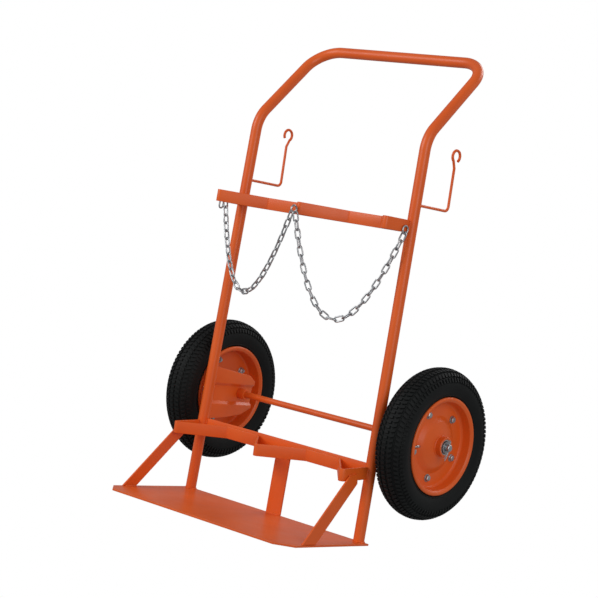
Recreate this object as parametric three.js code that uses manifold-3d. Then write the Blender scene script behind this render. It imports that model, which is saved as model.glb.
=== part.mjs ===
// Two-cylinder welding gas cart: a bent tube frame on a toe plate, with two cradle strips, a
// chain across each cylinder, hose hooks behind the posts and two pneumatic wheels on one axle.
// Millimetres, +Z up. The cart stands on its toe plate. +X is its right side and -Y its front.
import * as THREE from 'three';
import { mergeVertices } from 'three/addons/utils/BufferGeometryUtils.js';
import Module from 'manifold-3d';

const wasm = await Module();
wasm.setup();

// Driving dimensions
const GAP = 0.3;                  // clearance between pieces that are welded or pressed together
const PLATE_WIDTH = 579;
const PLATE_FRONT = -272.5;
const PLATE_BACK = 10.5;
const PLATE_CHAMFER = 36;
const PLATE_THICKNESS = 4.5;
const TUBE_R = 12.7;
const TUBE_BORE_R = 10.7;
const POST_FOOT_X = 268.3;        // half the distance between the posts at the toe plate
const POST_BEND_X = 258.3;        // and at the bend, because the posts lean in a little
const POST_BEND_Z = 917;
const POST_BEND_R = 80;
const HANDLE_X = 256.2;
const HANDLE_Y = 181;
const HANDLE_Z = 1113;
const HANDLE_CORNER_R = 68;
const BAR_THICKNESS = 4.5;        // flat bar, used for the cradles, braces and back bars
const BAR_HEIGHT = 28;
const CRADLE_FRONT_Y = -103.5;
const CRADLE_TOOTH_Y = -95;
const CRADLE_BACK_Y = -1.85;
const CRADLE_FLAT_OUTER_X = 176;
const CRADLE_FLAT_INNER_X = 78;
const UPPER_CRADLE_Z = 715;
const LOWER_CRADLE_Z = 160.5;
const LOWER_CRADLE_TILT = 4;      // degrees, nose down
const BACK_BAR_Y = 3;
const LOWER_BACK_BAR_Z = 166;
const UPPER_BACK_BAR_Z = 715;
const UPRIGHT_WIDTH = 45;
const BRACE_WIDTH = 32;
const BRACE_TOP = [-62, 148];     // y and z of the brace's upper end, on the cradle's arm
const BRACE_FOOT = [-191, 4.8];
const BRACE_SPREAD = 13;          // the foot stands this much further out, near the plate's edge
const AXLE_R = 7.5;
const AXLE_END_X = 386;
const WHEEL_X = 333;
const WHEEL_Y = 117.5;
const WHEEL_Z = 244;
const LEFT_WHEEL_TURN = THREE.MathUtils.degToRad(15);
const RIGHT_WHEEL_TURN = THREE.MathUtils.degToRad(-4.5);
const TYRE_R = 175;
const RIM_SHEET = 1.8;
const WEB_X = 5;                  // the bolted web, outboard of the wheel's middle
const HUB_R = 22.5;
const HUB_INNER_X = -40;
const HUB_OUTER_X = 41;
const BEARING_R = 17.5;
const BEARING_WIDTH = 11;
const BOLT_COUNT = 5;
const BOLT_CIRCLE_R = 77;
const BOLT_R = 4;
const BRACKET_SHEET = 3.2;
const BRACKET_RECESS = 7;
const BOSS_R = 13;
const HOOK_ROD_R = 3.2;
const HOOK_Z = 765;
const HOOK_EYE_Z = 891;
const HOOK_EYE_Y = 117;
const HOOK_EYE_R = 13.5;
const CHAIN_R = 6;
const CHAIN_Z = 680;              // the chains' ends hang a link below their rings
const LEFT_CHAIN_SAG = 179;
const RIGHT_CHAIN_SAG = 201;
const CHAIN_STEPS = 20;
const RING_R = 9;
const RING_WIRE_R = 2.25;
const RIGHT_RING_Z = 706;
const CENTER_RING_Z = 710;
const PEG_Z = 706;
const COTTER_X = 381;
const VALVE_X = 18;               // the valve stands outboard of the wheel's middle, like the web
const VALVE_R = 3.4;
const VALVE_ANGLE = THREE.MathUtils.degToRad(98);
const WHEEL_SEGMENTS = 20;
const TYRE_SEGMENTS = 24;

const paint = () => new THREE.MeshStandardMaterial({ color: 0xd9531e, roughness: 0.38, metalness: 0.1 });
const zinc = () => new THREE.MeshStandardMaterial({ color: 0xb9bcc0, roughness: 0.35, metalness: 0.9 });
const rubber = () => new THREE.MeshStandardMaterial({ color: 0x17181a, roughness: 0.85, metalness: 0 });
const steel = () => new THREE.MeshStandardMaterial({ color: 0x8f9398, roughness: 0.3, metalness: 1 });

// The cart's middle, front to back, is put at y = 0.
const cart = new THREE.Group();
cart.position.y = -(PLATE_FRONT + WHEEL_Y + TYRE_R) / 2;

function add(name, geometry, material, parent = cart) {
  const mesh = new THREE.Mesh(geometry, material);
  mesh.name = name;
  parent.add(mesh);
  return mesh;
}

const postX = (z) => POST_FOOT_X + (POST_BEND_X - POST_FOOT_X) * z / POST_BEND_Z;
const sideName = (side) => (side < 0 ? 'left' : 'right');

// ---- Geometry helpers ----

function toSolid(geometry) {
  const bare = geometry.clone();
  bare.deleteAttribute('normal');
  bare.deleteAttribute('uv');
  const merged = mergeVertices(bare, 1e-4);
  const index = merged.index.array;
  const triangles = [];
  for (let i = 0; i < index.length; i += 3) {
    const [a, b, c] = [index[i], index[i + 1], index[i + 2]];
    if (a !== b && b !== c && c !== a) triangles.push(a, b, c);
  }
  const mesh = new wasm.Mesh({
    numProp: 3,
    vertProperties: new Float32Array(merged.attributes.position.array),
    triVerts: new Uint32Array(triangles),
  });
  mesh.merge();
  return new wasm.Manifold(mesh);
}

function toGeometry(solid) {
  const mesh = solid.getMesh();
  const geometry = new THREE.BufferGeometry();
  geometry.setAttribute('position', new THREE.BufferAttribute(mesh.vertProperties, 3));
  geometry.setIndex(new THREE.BufferAttribute(mesh.triVerts, 1));
  return geometry;
}

const polygonPoint = (radius, angle) => new THREE.Vector2(radius * Math.cos(angle), radius * Math.sin(angle));

function polygon(radius, sides, turn = 0) {
  return Array.from({ length: sides }, (_, i) => polygonPoint(radius, turn + i * 2 * Math.PI / sides));
}

function circleHole(x, y, radius, sides) {
  return new THREE.Path(polygon(radius, sides).map((p) => new THREE.Vector2(p.x + x, p.y + y)));
}

// A path through fixed stations, each with its own tangent, so that straight runs take no steps.
class StationCurve extends THREE.Curve {
  constructor(stations) {
    super();
    this.stations = stations;
  }
  at(key, t, target) {
    const place = t * (this.stations.length - 1);
    const i = Math.min(Math.floor(place + 1e-9), this.stations.length - 2);
    return target.lerpVectors(this.stations[i][key], this.stations[i + 1][key], place - i);
  }
  getPoint(t, target = new THREE.Vector3()) { return this.at('point', t, target); }
  getTangent(t, target = new THREE.Vector3()) { return this.at('tangent', t, target).normalize(); }
  getUtoTmapping(u) { return u; }
}

// The same path for flat bar, which keeps its height along a fixed direction.
class BarCurve extends StationCurve {
  constructor(stations, up) {
    super(stations);
    this.up = up;
  }
  computeFrenetFrames() {
    const tangents = this.stations.map((s) => s.tangent.clone().normalize());
    const binormals = tangents.map(() => this.up.clone());
    const normals = tangents.map((t) => this.up.clone().cross(t).normalize());
    return { tangents, normals, binormals };
  }
}

// Stations along a polyline whose inner corners are bent to a radius.
function bentPath(corners, radii, arcSteps) {
  const stations = [];
  const last = corners.length - 1;
  const direction = (i) => corners[i + 1].clone().sub(corners[i]).normalize();
  stations.push({ point: corners[0].clone(), tangent: direction(0) });
  for (let i = 1; i < last; i++) {
    const before = direction(i - 1);
    const after = direction(i);
    const turn = before.angleTo(after);
    const radius = radii[i - 1];
    const start = corners[i].clone().addScaledVector(before, -radius * Math.tan(turn / 2));
    const inward = after.clone().addScaledVector(before, -before.dot(after)).normalize();
    for (let k = 0; k <= arcSteps; k++) {
      const a = turn * k / arcSteps;
      stations.push({
        point: start.clone().addScaledVector(before, radius * Math.sin(a)).addScaledVector(inward, radius * (1 - Math.cos(a))),
        tangent: before.clone().multiplyScalar(Math.cos(a)).addScaledVector(inward, Math.sin(a)),
      });
    }
  }
  stations.push({ point: corners[last].clone(), tangent: direction(last - 1) });
  return stations;
}

function sweep(curve, shape) {
  return new THREE.ExtrudeGeometry(shape, { steps: curve.stations.length - 1, extrudePath: curve, bevelEnabled: false });
}

const sweepRod = (stations, radius, sides) => sweep(new StationCurve(stations), new THREE.Shape(polygon(radius, sides)));

function sweepBar(stations, thickness, height, up) {
  const [w, h] = [thickness / 2, height / 2];
  const outline = [[-w, -h], [w, -h], [w, h], [-w, h]].map((p) => new THREE.Vector2(...p));
  return sweep(new BarCurve(stations, up), new THREE.Shape(outline));
}

// A flat plate whose outline is given in Y and Z, centred on the plane x.
function plateYZ(outline, x, thickness, holes = []) {
  const shape = new THREE.Shape(outline.map(([y, z]) => new THREE.Vector2(y, z)));
  shape.holes.push(...holes);
  const geometry = new THREE.ExtrudeGeometry(shape, { depth: thickness, bevelEnabled: false });
  geometry.applyMatrix4(new THREE.Matrix4().makeBasis(
    new THREE.Vector3(0, 1, 0), new THREE.Vector3(0, 0, 1), new THREE.Vector3(1, 0, 0)));
  return geometry.translate(x - thickness / 2, 0, 0);
}

const box = (x0, x1, y0, y1, z0, z1) =>
  new THREE.BoxGeometry(x1 - x0, y1 - y0, z1 - z0).translate((x0 + x1) / 2, (y0 + y1) / 2, (z0 + z1) / 2);

// Turns a closed outline of [radius, x] points about the X axis.
function turned(outline, segments) {
  let area = 0;
  outline.forEach(([r, x], i) => {
    const [r2, x2] = outline[(i + 1) % outline.length];
    area += r * x2 - r2 * x;
  });
  const ordered = area < 0 ? [...outline].reverse() : outline;
  const points = [...ordered, ordered[0]].map(([r, x]) => new THREE.Vector2(r, x));
  return new THREE.LatheGeometry(points, segments).rotateZ(-Math.PI / 2);
}

const ring = (inner, outer, x0, x1, segments) => turned([[outer, x0], [outer, x1], [inner, x1], [inner, x0]], segments);

// The closed outline of a pressed sheet that follows a line of [radius, x] points.
function sheetOutline(line, thickness) {
  const normals = line.slice(1).map(([r, x], i) => {
    const [dr, dx] = [r - line[i][0], x - line[i][1]];
    const length = Math.hypot(dr, dx);
    return [-dx / length, dr / length];
  });
  const offset = (distance) => line.map(([r, x], i) => {
    const a = normals[Math.max(i - 1, 0)];
    const b = normals[Math.min(i, normals.length - 1)];
    const scale = distance / (1 + a[0] * b[0] + a[1] * b[1]);
    return [r + (a[0] + b[0]) * scale, x + (a[1] + b[1]) * scale];
  });
  return [...offset(thickness / 2), ...offset(-thickness / 2).reverse()];
}

// ---- Toe plate and frame ----

function basePlate() {
  const half = PLATE_WIDTH / 2;
  const outline = [
    [-half, PLATE_BACK], [-half, PLATE_FRONT + PLATE_CHAMFER], [-half + PLATE_CHAMFER, PLATE_FRONT],
    [half - PLATE_CHAMFER, PLATE_FRONT], [half, PLATE_FRONT + PLATE_CHAMFER], [half, PLATE_BACK],
  ];
  const shape = new THREE.Shape(outline.map((p) => new THREE.Vector2(...p)));
  return new THREE.ExtrudeGeometry(shape, { depth: PLATE_THICKNESS, bevelEnabled: false });
}
add('base_plate', basePlate(), paint());

function mainFrame() {
  const foot = PLATE_THICKNESS + GAP;
  const corner = (side, x, y, z) => new THREE.Vector3(side * x, y, z);
  const corners = [
    corner(-1, postX(foot), 0, foot), corner(-1, POST_BEND_X, 0, POST_BEND_Z), corner(-1, HANDLE_X, HANDLE_Y, HANDLE_Z),
    corner(1, HANDLE_X, HANDLE_Y, HANDLE_Z), corner(1, POST_BEND_X, 0, POST_BEND_Z), corner(1, postX(foot), 0, foot),
  ];
  const stations = bentPath(corners, [POST_BEND_R, HANDLE_CORNER_R, HANDLE_CORNER_R, POST_BEND_R], 5);
  const shape = new THREE.Shape(polygon(TUBE_R, 16));
  shape.holes.push(circleHole(0, 0, TUBE_BORE_R, 8));
  return sweep(new StationCurve(stations), shape);
}
add('main_frame_tube', mainFrame(), paint());

// A cradle strip runs forward from the front of one post as an arm, zigzags round both cylinder
// pockets, and runs back to the front of the other post.
function cradleStrip(z) {
  const armX = postX(z);
  const tailY = -TUBE_R - GAP;
  const plan = [
    [-armX, tailY], [-armX, CRADLE_FRONT_Y], [-CRADLE_FLAT_OUTER_X, CRADLE_BACK_Y],
    [-CRADLE_FLAT_INNER_X, CRADLE_BACK_Y], [0, CRADLE_TOOTH_Y], [CRADLE_FLAT_INNER_X, CRADLE_BACK_Y],
    [CRADLE_FLAT_OUTER_X, CRADLE_BACK_Y], [armX, CRADLE_FRONT_Y], [armX, tailY],
  ];
  const radii = [6, 8, 8, 6, 8, 8, 6];
  const corners = plan.map(([x, y]) => new THREE.Vector3(x, y, 0));
  return sweepBar(bentPath(corners, radii, 2), BAR_THICKNESS, BAR_HEIGHT, new THREE.Vector3(0, 0, 1));
}

// The left chain's peg passes through the left arm of the upper cradle. It lies along the line
// between the chain's two ends, so that the chain can swing about it.
const pegPoint = new THREE.Vector3(-254, -68, PEG_Z);
const toothFrontY = CRADLE_TOOTH_Y + 1;
const centerRing = new THREE.Vector3(0, toothFrontY - RING_R - RING_WIRE_R, CENTER_RING_Z);
const pegLine = centerRing.clone().setZ(CENTER_RING_Z - RING_R).sub(pegPoint).normalize();
const onPeg = (distance) => pegPoint.clone().addScaledVector(pegLine, distance);

function upperCradleStrip() {
  const hole = sweepRod(bentPath([onPeg(-20), onPeg(8)], [], 1), RING_WIRE_R + GAP, 12);
  const strip = toSolid(cradleStrip(UPPER_CRADLE_Z).translate(0, 0, UPPER_CRADLE_Z));
  return toGeometry(strip.subtract(toSolid(hole)));
}
add('upper_cradle_strip', upperCradleStrip(), paint());
const lowerCradle = add('lower_cradle_strip', cradleStrip(LOWER_CRADLE_Z), paint());
lowerCradle.position.set(0, -1.2, LOWER_CRADLE_Z);
lowerCradle.rotation.x = THREE.MathUtils.degToRad(LOWER_CRADLE_TILT);

function backBar(z) {
  const half = postX(z + BAR_HEIGHT / 2) - TUBE_R - GAP;
  const [y, t, h] = [BACK_BAR_Y, BAR_THICKNESS / 2, BAR_HEIGHT / 2];
  return box(-half, half, y - t, y + t, z - h, z + h);
}
add('upper_back_bar', backBar(UPPER_BACK_BAR_Z), paint());
add('lower_back_bar', backBar(LOWER_BACK_BAR_Z), paint());

const uprightY = BACK_BAR_Y + BAR_THICKNESS + GAP;
add('center_upright', box(-UPRIGHT_WIDTH / 2, UPRIGHT_WIDTH / 2, uprightY - BAR_THICKNESS / 2,
  uprightY + BAR_THICKNESS / 2, PLATE_THICKNESS + GAP, LOWER_BACK_BAR_Z + BAR_HEIGHT / 2 - 2), paint());

// A brace is a flat bar on the outside of the lower cradle's arm, pointed at the top and cut
// level at the foot. It spreads outward down to the toe plate.
function brace(side) {
  const topX = postX(LOWER_CRADLE_Z) + BAR_THICKNESS + 2 * GAP;
  const along = new THREE.Vector2(BRACE_TOP[0] - BRACE_FOOT[0], BRACE_TOP[1] - BRACE_FOOT[1]).normalize();
  const halfFoot = BRACE_WIDTH / 2 / along.y;
  const place = (length, width) => [
    BRACE_TOP[0] + along.x * length - along.y * width, BRACE_TOP[1] + along.y * length + along.x * width];
  const outline = [
    [BRACE_FOOT[0] - halfFoot, BRACE_FOOT[1]], [BRACE_FOOT[0] + halfFoot, BRACE_FOOT[1]],
    place(0, -BRACE_WIDTH / 2), place(14, 0), place(-8, BRACE_WIDTH / 2),
  ];
  const highest = 170;
  const spread = side * BRACE_SPREAD / (highest - BRACE_FOOT[1]);
  const lean = new THREE.Matrix4().set(1, 0, -spread, spread * highest, 0, 1, 0, 0, 0, 0, 1, 0, 0, 0, 0, 1);
  return plateYZ(outline, side * topX, BAR_THICKNESS).applyMatrix4(lean);
}

// ---- Axle, brackets and hooks ----

// The bracket is a pressed hat section: a recessed middle band between two flanges, cut to a
// tapering outline, with the axle through the band.
function axleBracket(side) {
  const flangeX = postX(WHEEL_Z) - 1;
  const front = TUBE_R + GAP + 0.4;
  const outline = [[front, 178], [76, 184], [126, 192.5], [158, 210], [158, 276], [138, 290], [front, 306]];
  const [low, high] = [218, 264];
  const [inner, outer] = [flangeX - BRACKET_SHEET / 2, flangeX + BRACKET_SHEET / 2];
  const slope = BRACKET_RECESS / 2;
  const section = [
    [inner, 170], [inner, low - slope], [inner + BRACKET_RECESS, low + slope], [inner + BRACKET_RECESS, high - slope],
    [inner, high + slope], [inner, 312], [outer, 312], [outer, high + slope - 1], [outer + BRACKET_RECESS, high - slope - 1],
    [outer + BRACKET_RECESS, low + slope + 1], [outer, low - slope + 1], [outer, 170],
  ];
  const shape = new THREE.Shape(section.map(([x, z]) => new THREE.Vector2(side * x, z)));
  const hat = new THREE.ExtrudeGeometry(shape, { depth: 160, bevelEnabled: false })
    .rotateX(Math.PI / 2).translate(0, 165, 0);
  const cutter = plateYZ(outline, side * (flangeX + BRACKET_RECESS / 2), 40);
  const hole = turned([[0, -60], [AXLE_R + GAP, -60], [AXLE_R + GAP, 60], [0, 60]], 16)
    .translate(side * flangeX, WHEEL_Y, WHEEL_Z);
  return toGeometry(toSolid(hat).intersect(toSolid(cutter)).subtract(toSolid(hole)));
}

function axleBoss(side) {
  const outer = postX(WHEEL_Z) - 1 + BRACKET_RECESS - BRACKET_SHEET / 2 - GAP;
  const [x0, x1] = [side * (outer - 22), side * outer].sort((a, b) => a - b);
  return ring(AXLE_R + GAP, BOSS_R, x0, x1, 16).translate(0, WHEEL_Y, WHEEL_Z);
}

// A hose hook leaves the back of a post, turns up and ends in an eye. The left hook's eye is open
// towards the front, and the right one curls round the other way and is nearly closed.
function hoseHook(side) {
  const x = side * postX(HOOK_Z + 60);
  const stemY = HOOK_EYE_Y;
  const neck = HOOK_EYE_Z - HOOK_EYE_R - 14;
  const corners = [[TUBE_R + 0.6, HOOK_Z], [stemY + 4, HOOK_Z], [stemY, neck]]
    .map(([y, z]) => new THREE.Vector3(x, y, z));
  const stations = bentPath(corners, [11], 3);
  const turn = side < 0 ? 1 : -1;
  const step = side < 0 ? 27 : 28.5;
  for (let k = 0; k <= 10; k++) {
    const a = -Math.PI / 2 + THREE.MathUtils.degToRad(34 + step * k);
    stations.push({
      point: new THREE.Vector3(x, stemY + turn * HOOK_EYE_R * Math.cos(a), HOOK_EYE_Z + HOOK_EYE_R * Math.sin(a)),
      tangent: new THREE.Vector3(0, -turn * Math.sin(a), Math.cos(a)),
    });
  }
  return sweepRod(stations, HOOK_ROD_R, 6);
}

for (const side of [-1, 1]) {
  const name = sideName(side);
  add(`${name}_brace`, brace(side), paint());
  add(`${name}_axle_bracket`, axleBracket(side), paint());
  add(`${name}_axle_boss`, axleBoss(side), paint());
  add(`${name}_hose_hook`, hoseHook(side), paint());
}

const rod = (radius, x0, x1, sides) => turned([[0, x0], [radius, x0], [radius, x1], [0, x1]], sides);

// A rod that stands out from the X axis, turned from +Z towards -Y by an angle.
const radialRod = (radius, r0, r1, sides, angle, x) =>
  rod(radius, r0, r1, sides).rotateY(-Math.PI / 2).rotateX(angle).translate(x, 0, 0);

function axle() {
  let solid = toSolid(rod(AXLE_R, -AXLE_END_X, AXLE_END_X, 16));
  for (const x of [-COTTER_X, COTTER_X]) {
    solid = solid.subtract(toSolid(radialRod(2.2, -12, 12, 6, 0, x)));
  }
  return toGeometry(solid).translate(0, WHEEL_Y, WHEEL_Z);
}
add('axle', axle(), paint());

// The cotter pin is pushed through the axle's end from above, and its legs are bent forward.
function cotterPin(side) {
  const corners = [[0, 13], [0, -14], [-9, -27]].map(([y, z]) => new THREE.Vector3(side * COTTER_X, WHEEL_Y + y, WHEEL_Z + z));
  return sweepRod(bentPath(corners, [5], 2), 1.6, 6);
}
add('left_cotter_pin', cotterPin(-1), zinc());
add('right_cotter_pin', cotterPin(1), zinc());

// ---- Chains ----

const rightRing = new THREE.Vector3(postX(RIGHT_RING_Z) + BAR_THICKNESS / 2 + RING_WIRE_R + GAP, -28, RIGHT_RING_Z);
const wireRing = (radius) => new THREE.TorusGeometry(radius, RING_WIRE_R, 6, 12).rotateY(Math.PI / 2);
add('center_chain_ring', wireRing(RING_R).translate(...centerRing), zinc());
add('right_chain_ring', wireRing(RING_R).translate(...rightRing), zinc());

// The peg is a U of wire with both ends turned up. The chain hangs on it inside the arm, and can
// be lifted off over the end.
function chainPeg() {
  const [outer, inner] = [onPeg(-19.5), onPeg(6)];
  const raised = new THREE.Vector3(0, 0, 9);
  const corners = [outer.clone().add(raised), outer, inner, inner.clone().add(raised)];
  return sweepRod(bentPath(corners, [4, 4], 2), RING_WIRE_R, 8);
}
add('left_chain_hook', chainPeg(), zinc());

// Each chain hangs in a curve between two anchors. The curve is a parabola of the chain's sag.
function hangingChain(from, to, sag) {
  const run = to.clone().sub(from);
  const stations = Array.from({ length: CHAIN_STEPS + 1 }, (_, k) => {
    const t = k / CHAIN_STEPS;
    const point = from.clone().addScaledVector(run, t);
    point.z -= 4 * sag * t * (1 - t);
    const tangent = run.clone();
    tangent.z -= 4 * sag * (1 - 2 * t);
    return { point, tangent: tangent.normalize() };
  });
  return sweepRod(stations, CHAIN_R, 8);
}

// The chains' ends start a little in from the anchors, clear of the rings and the peg.
function chainBetween(a, b, fromA, fromB, sag) {
  const [start, end] = [a.clone().setZ(CHAIN_Z), b.clone().setZ(CHAIN_Z)];
  const along = end.clone().sub(start).normalize();
  return hangingChain(start.addScaledVector(along, fromA), end.addScaledVector(along, -fromB), sag);
}
add('left_chain', chainBetween(pegPoint, centerRing, 7, 9, LEFT_CHAIN_SAG), zinc());
add('right_chain', chainBetween(centerRing, rightRing, 9, 9, RIGHT_CHAIN_SAG), zinc());

// One spare link of the left chain hangs on the peg outside the arm.
const spareLink = wireRing(6).scale(1, 1, 1.95).rotateZ(Math.atan2(pegLine.y, pegLine.x));
add('left_spare_link', spareLink.translate(...onPeg(-13)).translate(0, 0, -4.5), zinc());

// ---- Wheels ----

const RIM_OUTER_LINE = [[112, 33.4], [103, 30.8], [100.5, 12], [97, WEB_X + 0.95], [66, WEB_X + 0.95], [52, 16], [23.8, 25]];
const RIM_INNER_LINE = [[112, -33.4], [103, -30.8], [100.5, 1], [97.5, WEB_X - 0.95 - GAP], [23.8, WEB_X - 0.95 - GAP]];

function boltPlaces() {
  return Array.from({ length: BOLT_COUNT }, (_, k) => {
    const a = Math.PI + k * 2 * Math.PI / BOLT_COUNT;
    return [BOLT_CIRCLE_R * Math.sin(a), BOLT_CIRCLE_R * Math.cos(a)];
  });
}

function rimHalf(line) {
  let solid = toSolid(turned(sheetOutline(line, RIM_SHEET), WHEEL_SEGMENTS));
  solid = solid.subtract(toSolid(radialRod(VALVE_R + GAP, 88, 104, 8, VALVE_ANGLE, VALVE_X)));
  for (const [y, z] of boltPlaces()) {
    solid = solid.subtract(toSolid(rod(BOLT_R + 0.35, WEB_X - 12, WEB_X + 12, 6).translate(0, y, z)));
  }
  return solid;
}

// The tyre is a hollow ring, open between its two beads.
function tyreOutline() {
  const outside = [[106, 28.3], [113.5, 30], [126, 37], [139, 38.8], [155, 36.5], [167.5, 28], [TYRE_R, 10]];
  const inside = [[168, 12], [152, 30], [130, 31.5], [106, 22.3]];
  const mirror = (list) => [...list].reverse().map(([r, x]) => [r, -x]);
  return [...outside, ...mirror(outside), ...mirror(inside), ...inside];
}

function tubeSolid(radius) {
  const section = Array.from({ length: 8 }, (_, k) => {
    const a = (k + 0.5) * Math.PI / 4;
    return [134 + 1.12 * radius * Math.sin(a), radius * Math.cos(a)];
  });
  return toSolid(turned(section, 16));
}

function innerTube() {
  const hole = toSolid(radialRod(VALVE_R + GAP, 90, 124, 8, VALVE_ANGLE, VALVE_X));
  return toGeometry(tubeSolid(27).subtract(tubeSolid(25)).subtract(hole));
}

function buildWheel(side) {
  const name = sideName(side);
  const wheel = new THREE.Group();
  wheel.position.set(side * WHEEL_X, WHEEL_Y, WHEEL_Z);
  if (side < 0) wheel.rotation.z = Math.PI;
  wheel.rotateX(side < 0 ? LEFT_WHEEL_TURN : RIGHT_WHEEL_TURN);
  const part = (suffix, geometry, material) => add(`${name}_${suffix}`, geometry, material, wheel);
  part('tyre', turned(tyreOutline(), TYRE_SEGMENTS), rubber());
  part('inner_tube', innerTube(), rubber());
  part('rim_outer', toGeometry(rimHalf(RIM_OUTER_LINE)), paint());
  part('rim_inner', toGeometry(rimHalf(RIM_INNER_LINE)), paint());
  const seat = BEARING_WIDTH + 1.5;
  part('hub', turned([
    [HUB_R, HUB_INNER_X], [HUB_R, HUB_OUTER_X], [BEARING_R + GAP, HUB_OUTER_X], [BEARING_R + GAP, HUB_OUTER_X - seat],
    [14, HUB_OUTER_X - seat], [14, HUB_INNER_X + seat], [BEARING_R + GAP, HUB_INNER_X + seat],
    [BEARING_R + GAP, HUB_INNER_X],
  ], 16), paint());
  const bearing = (x) => ring(AXLE_R + GAP, BEARING_R, x, x + BEARING_WIDTH, 16);
  part('bearing_outer', bearing(HUB_OUTER_X - BEARING_WIDTH - 1), steel());
  part('bearing_inner', bearing(HUB_INNER_X + 1), steel());
  part('washer_outer', ring(AXLE_R + GAP, 14, HUB_OUTER_X - 0.6, HUB_OUTER_X + 2, 16), zinc());
  part('spacer_inner', ring(AXLE_R + GAP, 11, HUB_INNER_X - 16, HUB_INNER_X + 0.6, 16), zinc());
  part('valve_stem', radialRod(VALVE_R, 67, 116, 8, VALVE_ANGLE, VALVE_X), steel());
  boltPlaces().forEach(([y, z], k) => {
    const bolt = turned([
      [0, WEB_X - 10.5], [7.5, WEB_X - 10.5], [7.5, WEB_X - 2.5], [BOLT_R, WEB_X - 2.5],
      [BOLT_R, WEB_X + 2.2], [7.5, WEB_X + 2.2], [7.5, WEB_X + 8.5], [0, WEB_X + 8.5],
    ], 6).translate(0, y, z);
    part(`rim_bolt_${k + 1}`, bolt, zinc());
  });
  cart.add(wheel);
}
buildWheel(-1);
buildWheel(1);

cart.updateMatrixWorld(true);
export default cart;
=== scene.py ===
"""The looks of a two-cylinder gas cart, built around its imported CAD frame.

Lengths are in millimetres until at() or MM turns them into the frame's metres. X runs to the
cart's right, Z up, and Y back from the line of the posts, so that Y = 0 is the posts' middle.
"""
import math
import random

import bmesh
import bpy
from mathutils import Matrix, Vector, noise


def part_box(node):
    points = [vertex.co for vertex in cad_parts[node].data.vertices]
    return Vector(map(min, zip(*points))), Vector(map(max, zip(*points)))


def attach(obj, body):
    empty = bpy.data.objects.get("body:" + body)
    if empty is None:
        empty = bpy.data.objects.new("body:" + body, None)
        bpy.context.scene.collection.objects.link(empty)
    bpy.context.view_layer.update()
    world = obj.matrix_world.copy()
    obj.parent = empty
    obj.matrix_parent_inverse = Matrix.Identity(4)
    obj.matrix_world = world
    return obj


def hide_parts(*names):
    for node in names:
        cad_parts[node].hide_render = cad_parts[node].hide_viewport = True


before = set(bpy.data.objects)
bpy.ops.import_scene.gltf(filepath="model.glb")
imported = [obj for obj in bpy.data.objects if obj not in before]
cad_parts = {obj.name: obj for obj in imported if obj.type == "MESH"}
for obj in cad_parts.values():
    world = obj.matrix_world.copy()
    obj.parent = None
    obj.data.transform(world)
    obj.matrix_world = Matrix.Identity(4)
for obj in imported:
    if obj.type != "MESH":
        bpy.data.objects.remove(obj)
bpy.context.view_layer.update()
random.seed(7)

MM = 0.001

# Driving dimensions
TUBE_R = 12.7
BAR_T = 4.5                      # flat bar
BAR_H = 28
PLATE_T = 4.5
PLATE_CHAMFER = 36
FIT = 0.3                        # clearance between welded or pressed pieces
RIM_SHEET = 1.8
BRACKET_SHEET = 3.2
CRADLE_FRONT_Y = -103.5
CRADLE_TOOTH_Y = -95
CRADLE_BACK_Y = -1.85
CRADLE_FLAT_OUTER_X = 176
CRADLE_FLAT_INNER_X = 78
CRADLE_TAIL_Y = -12.8
UPPER_CRADLE_Z = 715
LOWER_CRADLE_Z = 160.5
LOWER_BACK_BAR_Z = 166
LOWER_CRADLE_TILT = math.radians(4)
LOWER_CRADLE_SHIFT_Y = -1.2
BRACE_WIDTH = 32
BRACE_TOP = Vector((-62, 148))   # y and z of the upper end, on the cradle's arm
BRACE_FOOT = Vector((-191, 4.8))
BRACE_SPREAD = 13                # the foot stands this much further out than a point at BRACE_HIGH_Z
BRACE_HIGH_Z = 170
POST_BEND_Z = 917
POST_BEND_R = 80
HANDLE_CORNER_R = 68
AXLE_R = 7.5
COTTER_X = 381
HOOK_ROD_R = 3.2
HOOK_Z = 765
HOOK_EYE_Z = 891
HOOK_EYE_R = 13.5
HUB_R = 22.5
HUB_ENDS = (-40, 41)
BEARING_R = 17.5
BEARING_W = 11
BOLT_COUNT = 5
BOLT_CIRCLE_R = 77
WEB_X = 5                        # the bolted web, outboard of the wheel's middle
VALVE_ANGLE = math.radians(98)
VALVE_X = 18
LEFT_WHEEL_TURN = math.radians(15)
RIGHT_WHEEL_TURN = math.radians(-4.5)
RING_R = 9
RING_WIRE_R = 2.25
CHAIN_WIRE_R = 2
CHAIN_PITCH = 20.5
LINK_WIDTH = 15
SPARE_LINK_LENGTH = 24.5
LEFT_CHAIN_SAG = 204
RIGHT_CHAIN_SAG = 221
PEG = Vector((-254, -68, 706))   # where the left chain hangs on its peg

# Where the frame puts things, in millimetres
TUBE_LOW, TUBE_HIGH = (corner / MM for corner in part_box("main_frame_tube"))
POST_Y = TUBE_LOW.y + TUBE_R
HANDLE_Z = TUBE_HIGH.z - TUBE_R
HANDLE_Y = TUBE_HIGH.y - TUBE_R - POST_Y
POST_FOOT_X = TUBE_HIGH.x - TUBE_R
POST_BEND_X = POST_FOOT_X - 10
HANDLE_X = POST_FOOT_X - 12.1
AXLE_LOW, AXLE_HIGH = (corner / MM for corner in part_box("axle"))
AXLE_Y = (AXLE_LOW.y + AXLE_HIGH.y) / 2 - POST_Y
AXLE_Z = (AXLE_LOW.z + AXLE_HIGH.z) / 2
TYRE_LOW, TYRE_HIGH = (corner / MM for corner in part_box("right_tyre"))
WHEEL_X = (TYRE_LOW.x + TYRE_HIGH.x) / 2
TYRE_R = (TYRE_HIGH.z - TYRE_LOW.z) / 2


def at(x, y, z):
    """A point of the cart, in the frame's metres."""
    return Vector((x, y + POST_Y, z)) * MM


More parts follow.
